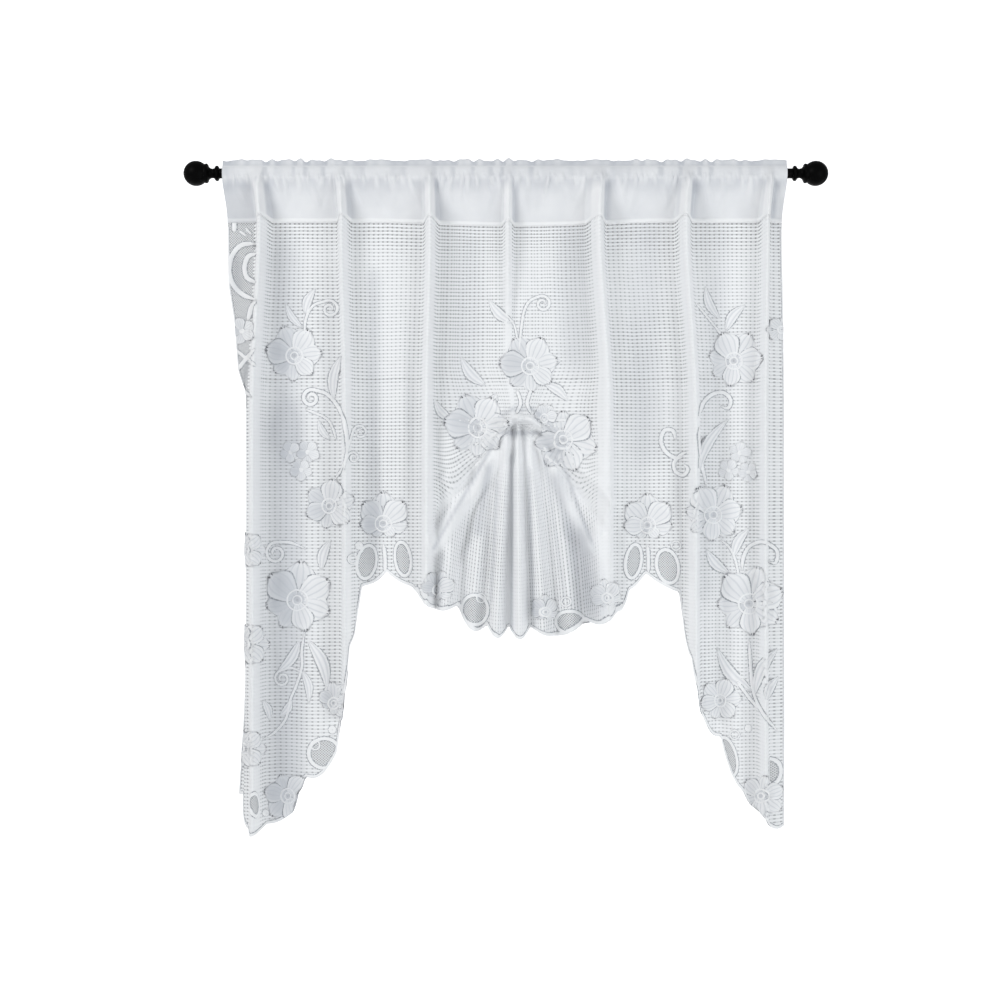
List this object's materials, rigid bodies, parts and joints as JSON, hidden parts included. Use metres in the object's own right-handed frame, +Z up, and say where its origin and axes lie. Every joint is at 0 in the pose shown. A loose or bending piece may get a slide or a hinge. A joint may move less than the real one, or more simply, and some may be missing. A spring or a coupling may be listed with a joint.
{
  "type": "swag and tail drape with curtain rod",
  "caption": "White lace curtain with a centre-gathered swag between long scalloped tails, hung by a plain rod pocket on a slim black rod with ball ends.",
  "frame": {"origin": "on the rod's axis at mid-length", "axes": "+X along the rod, +Z up, the room side faces -Y"},
  "size_m": [0.876, 0.0781, 0.9124],
  "materials": {
    "lace": "white warp-knitted net with dense flower motifs",
    "band_cloth": "plain woven white cloth",
    "black_metal": "satin black"
  },
  "bodies": {
    "root": {"lace_panel": "lace", "heading_band": "band_cloth", "rod": "black_metal", "finial_left": "black_metal", "finial_right": "black_metal"}
  },
  "joints": []
}
